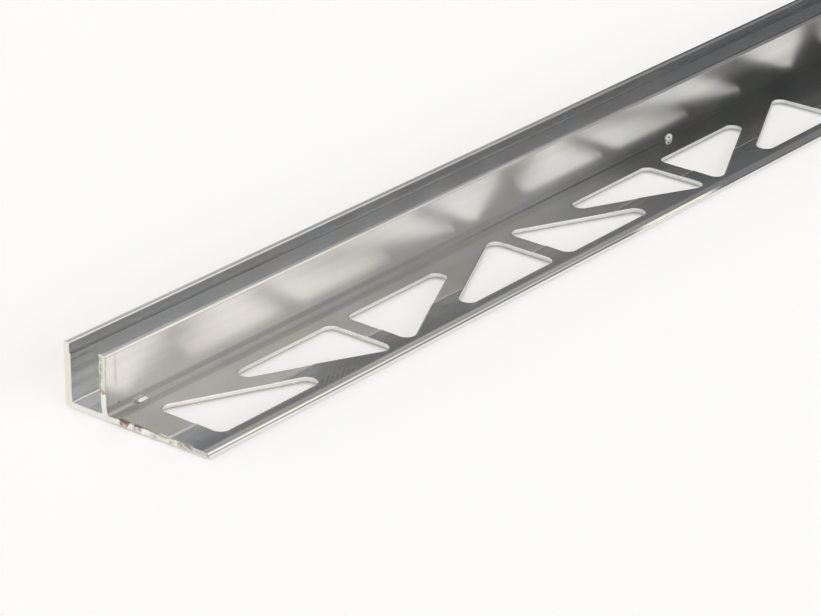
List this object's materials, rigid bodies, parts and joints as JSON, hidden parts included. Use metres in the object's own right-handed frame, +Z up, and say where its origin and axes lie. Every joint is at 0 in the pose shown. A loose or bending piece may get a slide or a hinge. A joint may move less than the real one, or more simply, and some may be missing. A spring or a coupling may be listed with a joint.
{
  "type": "perforated edge profile",
  "caption": "Straight aluminium edge profile: slim U-channel with a long flat anchoring leg punched with rounded triangles, sawn square at both ends.",
  "frame": {"origin": "centre of the bounding box in plan, on the flat underside that rests on the ground", "axes": "+X along the length, towards the end that keeps more plain metal after its last hole; +Y from the punched leg towards the channel's outer wall; +Z up"},
  "size_m": [1, 0.0264, 0.01],
  "materials": {
    "mill_aluminium": "mill finish, glossy, with fine lines along the length from the die"
  },
  "bodies": {
    "root": {"edge_profile": "mill_aluminium"}
  },
  "joints": []
}
